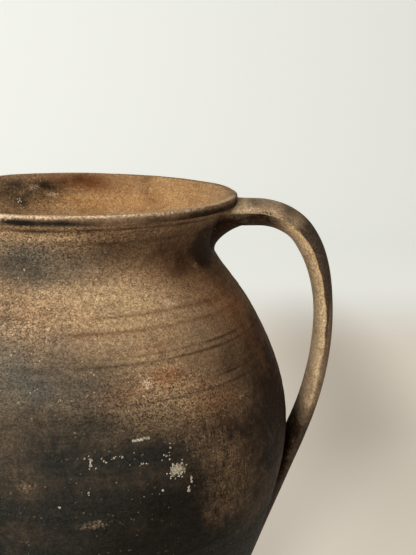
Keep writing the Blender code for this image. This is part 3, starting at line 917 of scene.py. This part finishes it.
# at each width the fillet leaves the neck by reach x (1 - cos a ^(2/p)) while it climbs drop x sin a ^(2/p);
# its back runs down inside the wall
def filletLoft():
    form = upperLuting
    share = np.linspace(-form["span"], form["span"], form["rows"])[:, None]
    fading = np.sqrt(1 - share ** 2)
    y = share * form["width"] / 2 * mm
    turn = np.linspace(0, math.pi / 2, form["steps"])[None]
    top = lipTop + (form["overlap"] + form["rise"] * share ** 2 - form["underside"]) * mm
    z = top - (1 - np.sin(turn) ** (2 / form["power"])) * form["drop"] * fading * mm
    x = np.sqrt((outerRadius(z) - form["sink"] * mm) ** 2 - y ** 2)
    x = x + (1 - np.cos(turn) ** (2 / form["power"])) * form["reach"] * fading * mm
    down = np.linspace(0, 1, form["backSteps"])[None]
    backTop = top + form["backRise"] * mm
    backZ = backTop * (1 - down) + z[:, :1] * down
    backX = np.sqrt((outerRadius(backZ) - form["backDepth"] * mm) ** 2 - y ** 2)
    x, z = np.hstack([x, x[:, -1:], backX]), np.hstack([z, backTop, backZ])
    return closedEnds(np.stack(np.broadcast_arrays(x, y, z), -1))


points = filletLoft()
makePiece("rootFillet", points, vesselClay, markLayers(points, outsideMarks), "upper_luting")

# Lower luting: a smear of clay round the tip of the tail, thinning out on to the belly
lowerLuting = dict(
    width=58, height=52, thickness=1.8, middle=70, sink=0.8, bury=2.5,
    fingers=0.7, fingerSize=5, fingerDrawn=0.25, rings=34, backRings=8, turn=120,
)


# a low dome in polar steps: thickness x (1 - s^2) above the wall, rim sunk in, flat back inside the wall
def smearDome():
    form = lowerLuting
    s, front = domeSteps(form["rings"], form["backRings"])
    angle = roundSteps(form["turn"])
    z = form["middle"] * mm + s * np.sin(angle) * form["height"] / 2 * mm
    base = outerRadius(z)
    turn = s * np.cos(angle) * form["width"] / 2 * mm / base
    drawn = turned(base, turn, z) * (1, 1, form["fingerDrawn"])
    fingers = (clouds(drawn, form["fingerSize"], seeds["fingers"], 2) - 0.5) * form["fingers"] * mm
    lift = form["thickness"] * (1 - s ** 2) * mm - form["sink"] * s ** 6 * mm + fingers * (1 - s ** 4)
    return turned(base + front * lift - (1 - front) * form["bury"] * mm, turn, z)


points = smearDome()
makePiece("tailSmear", points, vesselClay, markLayers(points, outsideMarks), "lower_luting")

# Floor slab: a flat round foot, its edge rubbed round, with the inside floor above
footForm = dict(round=1.6, inset=5.5, floor=9.0, floorInset=2, rows=40, edgeRows=8, turn=240)


# rows from the centre along the resting face, round the edge, up the side and back along the inside floor
def footSlab():
    form = footForm
    rounding = form["round"] * mm
    edge = outerRadius(wall[:1, 0])[0]
    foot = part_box("base_disc")[1].x - form["inset"] * mm
    out = np.linspace(0, 1, form["rows"])
    bow = np.linspace(0, math.pi / 2, form["edgeRows"])
    rise = np.linspace(0, 1, form["edgeRows"])[1:]
    stretches = (
        (out * (foot - rounding), 0 * out),
        (foot - rounding * (1 - np.sin(bow)), rounding * (1 - np.cos(bow))),
        (foot + (edge - foot) * rise, rounding + (floorSeam - rounding) * rise),
        (out[::-1] * (edge - form["floorInset"] * mm), 0 * out + form["floor"] * mm),
    )
    r, z = (np.concatenate(column)[:, None] for column in zip(*stretches))
    return turned(r, roundSteps(form["turn"], -math.pi), z)


points = footSlab()
makePiece("footSlab", points, vesselClay, markLayers(points, outsideMarks), "base_disc")

# Lime scale: crumbs of chalk in clusters on the belly, a few on the neck and inside the mouth
limeCrust = dict(
    # azimuth, height, spread across and up in mm, number of crumbs, their size in mm, 1 outside or -1 inside
    clusters=(
        (-67.9, 207.8, 2.6, 0.25, 12, 0.75, 1),
        (-79.4, 200.6, 1.6, 2.4, 12, 0.60, 1),
        (-73.4, 200.8, 4.0, 0.9, 11, 0.50, 1),
        (-66.6, 195.6, 2.6, 0.6, 6, 0.45, 1),
        (-62.0, 197.2, 2.0, 1.2, 7, 0.45, 1),
        (-60.6, 201.6, 0.5, 0.8, 2, 0.60, 1),
        (-59.4, 189.0, 2.2, 2.1, 150, 0.46, 1),
        (-55.9, 181.8, 0.3, 0.9, 5, 0.70, 1),
        (-56.6, 177.0, 0.4, 0.7, 4, 0.80, 1),
        (-63.2, 180.1, 0.2, 0.4, 2, 0.70, 1),
        (-79.8, 183.5, 0.3, 0.4, 3, 0.60, 1),
        (-86.0, 176.8, 0.2, 0.2, 1, 0.70, 1),
        (-100.9, 287.9, 0.1, 0.1, 1, 0.75, 1),
        (-103.0, 283.5, 0.1, 0.1, 1, 0.55, 1),
        (-99.8, 248.4, 0.2, 0.3, 2, 0.70, 1),
        (-82.0, 262.5, 0.1, 0.1, 1, 0.60, 1),
        (-72.0, 190.0, 16.0, 12.0, 10, 0.28, 1),
        (-60.0, 225.0, 22.0, 9.0, 6, 0.26, 1),
        (128.0, 303.0, 0.8, 1.8, 9, 0.60, -1),
        (140.0, 190.0, 5.0, 3.0, 46, 0.65, 1),
        (75.0, 205.0, 4.0, 2.0, 24, 0.60, 1),
        (-160.0, 160.0, 14.0, 9.0, 26, 0.45, 1),
    ),
    sizes=(0.55, 1.25), lift=0.30, settle=0.05, bury=0.5, rings=4, backRings=2, turn=9, ragged=0.45,
)


# each crumb is a low ragged dome in polar steps, lift x (1 - s^2) above the wall and closed inside it
def crumbDomes():
    form = limeCrust
    draw = np.random.default_rng(seeds["crumbs"])
    rows = np.array(form["clusters"])
    degrees, height, wide, tall, _, size, face = np.repeat(rows, rows[:, 4].astype(int), axis=0).T
    height = (height + draw.normal(size=height.shape) * tall) * mm
    azimuth = np.radians(degrees) + draw.normal(size=height.shape) * wide * mm / outerRadius(height)
    reach = size * mm * draw.uniform(*form["sizes"], height.shape)
    outline = 1 + form["ragged"] * draw.uniform(-1, 1, (len(height), 1, form["turn"]))
    s, front = domeSteps(form["rings"], form["backRings"])
    angle = roundSteps(form["turn"])
    reach, height, azimuth, face = (v[:, None, None] for v in (reach, height, azimuth, face))
    z = height + s * outline * np.sin(angle) * reach
    turn = azimuth + s * outline * np.cos(angle) * reach / outerRadius(height)
    outside = np.linalg.norm(outerFace(turn, z)[0][..., :2], axis=-1)
    inside = np.linalg.norm(innerFace(turn, z)[..., :2], axis=-1)
    dome = form["lift"] * (1 - s ** 2) - form["settle"]
    off = front * dome * mm - (1 - front) * form["bury"] * mm
    return turned(np.where(face > 0, outside, inside) + face * off, turn, z)


points = crumbDomes()
makePiece("limeCrust", points, chalk, {}, None)

# Stage: one pale sweep, flat under the jug and curving up far behind it
sweepForm = dict(
    halfWidth=3.0, front=-2.2, back=1.5, radius=0.9, rise=2.4, bendRows=24, roughness=0.95, specular=0.1,
    floor="#dcd5ca", wall="#c6c9c4", floorGlow="#a29c92", wallGlow="#c8cac6", turnTo=(0.62, 1.10),
    # the side glow is painted light, brighter towards the left, and the oval is a painted shadow behind the
    # jug
    sideReach=(-0.7, 0.9), sideGlow=(1.12, 0.86),
    paintedShadowPlace=(0.26, 0.54, 0.0), paintedShadowReach=(0.14, 0.56, 0.6), paintedShadowGlow=0.46,
)
bendAngle = np.linspace(0, math.pi / 2, sweepForm["bendRows"])
bendY = sweepForm["back"] + sweepForm["radius"] * np.sin(bendAngle)
bendZ = sweepForm["radius"] * (1 - np.cos(bendAngle))
sweepLine = [(sweepForm["front"], 0), *zip(bendY, bendZ), (bendY[-1], sweepForm["rise"])]
sweepPoints = [(side * sweepForm["halfWidth"], y, z) for y, z in sweepLine for side in (-1, 1)]
sweepFaces = [(2 * k, 2 * k + 1, 2 * k + 3, 2 * k + 2) for k in range(len(sweepLine) - 1)]
sweepMesh = bpy.data.meshes.new("paperSweep")
sweepMesh.from_pydata(sweepPoints, [], sweepFaces)
sweepMesh.shade_smooth()
# matt paper, warm on the floor and cool behind; the eye and reflections see it a little lighter, with painted
# light that is most at the left and a painted shadow in a dim oval behind the jug; the real shadow stays
paper, tree, place = newMaterial("mattPaper")
axes = addNode(tree, "ShaderNodeSeparateXYZ", {0: place}).outputs
behind = carried(tree, axes["Y"], *sweepForm["turnTo"], interpolation_type="SMOOTHSTEP")
paperColour, glowColour = (
    layered(tree, behind, linear(sweepForm["floor" + kind]), linear(sweepForm["wall" + kind]))
    for kind in ("", "Glow")
)
rays = addNode(tree, "ShaderNodeLightPath").outputs
seen = maths(tree, "MAXIMUM", rays["Is Camera Ray"], rays["Is Glossy Ray"])
seen = maths(tree, "MAXIMUM", seen, rays["Is Transmission Ray"])
# painted light: the glow grows towards the left
sideLight = carried(tree, axes["X"], *sweepForm["sideReach"], *sweepForm["sideGlow"])
# painted shadow: a dim oval in the glow behind the jug
offset = {0: place, 1: sweepForm["paintedShadowPlace"]}
offset = addNode(tree, "ShaderNodeVectorMath", offset, operation="SUBTRACT").outputs[0]
scaled = {0: offset, 1: [1 / reach for reach in sweepForm["paintedShadowReach"]]}
scaled = addNode(tree, "ShaderNodeVectorMath", scaled, operation="MULTIPLY").outputs[0]
away = addNode(tree, "ShaderNodeVectorMath", {0: scaled}, operation="LENGTH").outputs["Value"]
glowOutsidePaintedShadow = carried(tree, away, 0.0, 1.0, sweepForm["paintedShadowGlow"], 1.0, interpolation_type="SMOOTHSTEP")
glow = maths(tree, "MULTIPLY", maths(tree, "MULTIPLY", seen, sideLight), glowOutsidePaintedShadow)
glowShader = addNode(tree, "ShaderNodeEmission", {"Color": glowColour, "Strength": glow}).outputs[0]
settings = {"Base Color": paperColour, "Roughness": sweepForm["roughness"]}
settings |= {"Specular IOR Level": sweepForm["specular"]}
paperShader = addNode(tree, "ShaderNodeBsdfPrincipled", settings).outputs[0]
bothShaders = addNode(tree, "ShaderNodeAddShader", {0: paperShader, 1: glowShader}).outputs[0]
addNode(tree, "ShaderNodeOutputMaterial", {"Surface": bothShaders})
sweepMesh.materials.append(paper)
sweep = bpy.data.objects.new("paperSweep", sweepMesh)
bpy.context.scene.collection.objects.link(sweep)

# Light: a tall soft source from the front left, made of a low and a high lamp, and an even room
lampAim = (0, 0, 0.16)  # middle of the jug, in metres
lamps = dict(
    lowLamp=dict(azimuth=-105, elevation=22, distance=1.8, size=0.40, power=15.0, colour="#f8f6f1"),
    highLamp=dict(azimuth=-132, elevation=38, distance=1.8, size=0.50, power=10.5, colour="#f8f6f1"),
)
room = dict(colour="#fbf0e2", strength=0.34)
for name, form in lamps.items():
    lampData = bpy.data.lights.new(name, "AREA")
    lampData.shape = "DISK"
    lampData.size = form["size"]
    lampData.energy = form["power"]
    lampData.color = linear(form["colour"])[:3]
    lamp = bpy.data.objects.new(name, lampData)
    bpy.context.scene.collection.objects.link(lamp)
    turn, lift = math.radians(form["azimuth"]), math.radians(form["elevation"])
    away = np.array([math.cos(turn) * math.cos(lift), math.sin(turn) * math.cos(lift), math.sin(lift)])
    lamp.matrix_world = (
        Matrix.Translation(away * form["distance"] + lampAim)
        @ Matrix.Rotation(turn + math.pi / 2, 4, "Z")
        @ Matrix.Rotation(math.pi / 2 - lift, 4, "X")
    )
world = bpy.data.worlds.new("evenRoom")
bpy.context.scene.world = world
world.use_nodes = True
background = world.node_tree.nodes["Background"].inputs
background["Color"].default_value = linear(room["colour"])
background["Strength"].default_value = room["strength"]
bpy.context.scene.view_settings.view_transform = "Standard"
print("stage and light set")
